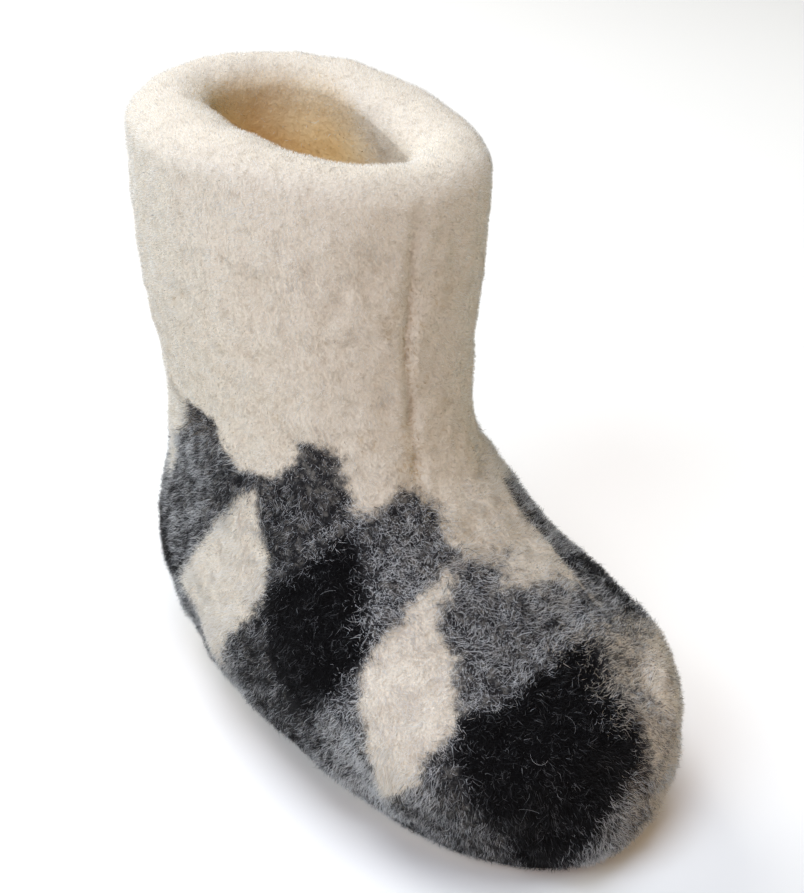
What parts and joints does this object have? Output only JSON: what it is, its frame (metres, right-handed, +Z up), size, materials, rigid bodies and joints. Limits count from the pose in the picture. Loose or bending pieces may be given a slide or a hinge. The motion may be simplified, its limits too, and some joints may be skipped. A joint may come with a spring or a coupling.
{
  "type": "wool slipper",
  "caption": "Child's wool slipper for the right foot with a high standing shaft, thick rolled collar, deep checked pile, felt sole and loose wool insole",
  "frame": {"origin": "On the floor under the middle of the slipper's box.", "axes": "+X to the toe, +Y to the wearer's left, which is the inner side of this right foot, +Z up."},
  "size_m": [0.1982, 0.1102, 0.1908],
  "materials": {
    "wool_plush": "matte deep wool pile, cream shaft over a black, grey and cream check",
    "wool_felt": "matte pressed grey wool felt",
    "wool_footbed": "matte cream wool fleece"
  },
  "bodies": {
    "root": {"upper": "wool_plush", "sole": "wool_felt", "insole": "wool_footbed"}
  },
  "joints": []
}
